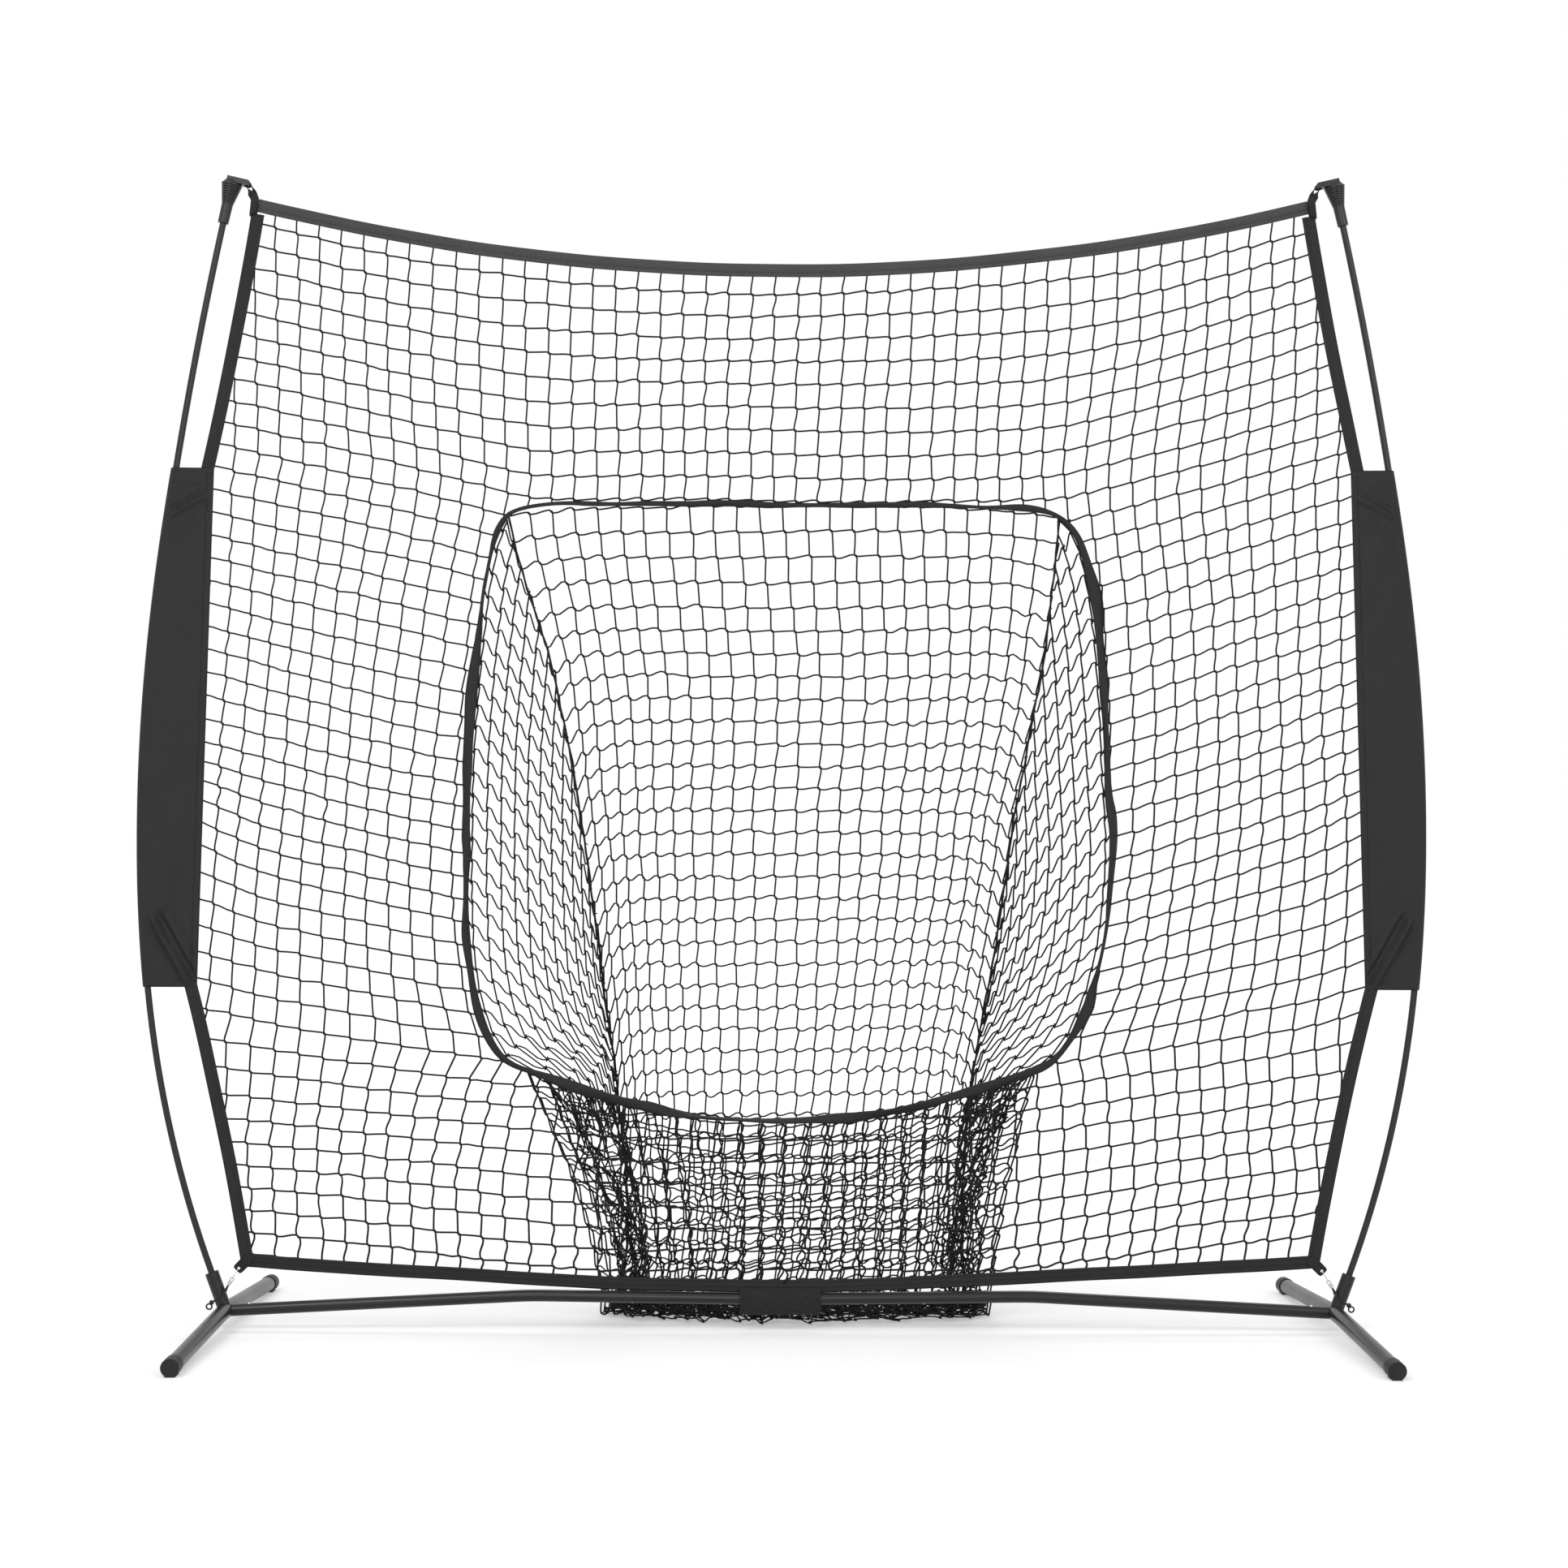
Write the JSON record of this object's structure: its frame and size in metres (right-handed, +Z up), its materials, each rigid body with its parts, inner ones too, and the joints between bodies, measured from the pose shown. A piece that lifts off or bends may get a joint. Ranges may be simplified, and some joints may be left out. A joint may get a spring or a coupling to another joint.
{
  "type": "pitching target net",
  "caption": "Freestanding baseball practice net: mesh panel on bowed poles and a steel base, with a strike-zone opening and a sock pocket behind it.",
  "frame": {"origin": "on the floor, at the middle of the bounding box's bottom face, under the middle of the net", "axes": "+Z up; +X to the right of someone who faces the net's front; +Y from the front to the back, where the sock hangs"},
  "size_m": [2.3838, 0.9224, 2.1307],
  "materials": {
    "black_paint": "satin black powder coat",
    "cap_rubber": "moulded black rubber",
    "black_plastic": "moulded black plastic, satin",
    "plated_steel": "zinc-plated steel",
    "fibreglass": "smooth black fibreglass rod",
    "sleeve_fabric": "black woven polyester with a slight sheen",
    "netting": "knotless black polyester twine",
    "rim_fabric": "black binding",
    "tape_webbing": "black woven tape",
    "strap_webbing": "black woven webbing",
    "wrap_fabric": "soft black hook-and-loop fabric",
    "elastic": "braided black elastic cord",
    "clear_plastic": "clear plastic"
  },
  "bodies": {
    "frame": {"bar_wrap": "wrap_fabric", "bottom_tape": "tape_webbing", "front_net": "netting", "left_bar_stub": "black_paint", "left_base_bar": "black_paint", "left_corner_strap": "strap_webbing", "left_corner_tab": "strap_webbing", "left_foot_tube": "black_paint", "left_front_foot_cap": "cap_rubber", "left_lower_side_tape": "tape_webbing", "left_pole_cap": "black_plastic", "left_pole_ferrules": "plated_steel", "left_pole_lower": "fibreglass", "left_pole_middle": "fibreglass", "left_pole_sleeve": "sleeve_fabric", "left_pole_socket": "black_paint", "left_pole_upper": "fibreglass", "left_rear_foot_cap": "cap_rubber", "left_snap_spring": "plated_steel", "left_sock_side": "netting", "left_socket_bush": "black_plastic", "left_tie_cords": "elastic", "left_tie_ferrule": "plated_steel", "left_tie_knot": "elastic", "left_tie_link": "clear_plastic", "left_upper_side_tape": "tape_webbing", "middle_snap_spring": "plated_steel", "opening_rim": "rim_fabric", "right_bar_stub": "black_paint", "right_base_bar": "black_paint", "right_corner_strap": "strap_webbing", "right_corner_tab": "strap_webbing", "right_foot_tube": "black_paint", "right_front_foot_cap": "cap_rubber", "right_lower_side_tape": "tape_webbing", "right_pole_cap": "black_plastic", "right_pole_ferrules": "plated_steel", "right_pole_lower": "fibreglass", "right_pole_middle": "fibreglass", "right_pole_sleeve": "sleeve_fabric", "right_pole_socket": "black_paint", "right_pole_upper": "fibreglass", "right_rear_foot_cap": "cap_rubber", "right_snap_spring": "plated_steel", "right_sock_side": "netting", "right_socket_bush": "black_plastic", "right_tie_cords": "elastic", "right_tie_ferrule": "plated_steel", "right_tie_knot": "elastic", "right_tie_link": "clear_plastic", "right_upper_side_tape": "tape_webbing", "sock_back": "netting", "sock_floor": "netting", "sock_skirt": "netting", "top_tape": "tape_webbing"},
    "right_button": {"right_snap_button": "plated_steel"},
    "left_button": {"left_snap_button": "plated_steel"},
    "middle_button": {"middle_snap_button": "plated_steel"},
    "flap": {"wrap_flap": "wrap_fabric"}
  },
  "joints": [
    {"name": "right_button_press", "type": "slide", "parent": "frame", "child": "right_button", "axis": [-0.0523, 0, -0.9986], "range_m": [0, 0.0032], "stiffness_N_per_m": 900, "springref_m": -0.004, "deforming": ["right_snap_spring"]},
    {"name": "left_button_press", "type": "slide", "parent": "frame", "child": "left_button", "axis": [0.0523, 0, -0.9986], "range_m": [0, 0.0032], "stiffness_N_per_m": 900, "springref_m": -0.004, "deforming": ["left_snap_spring"]},
    {"name": "middle_button_press", "type": "slide", "parent": "frame", "child": "middle_button", "axis": [0, 0, 1], "range_m": [0, 0.0032], "stiffness_N_per_m": 900, "springref_m": -0.004, "deforming": ["middle_snap_spring"]},
    {"name": "flap_peel", "type": "hinge", "parent": "frame", "child": "flap", "pos_m": [0, 0.0137, 0.038], "axis": [-1, 0, 0], "range_deg": [0, 110]}
  ]
}
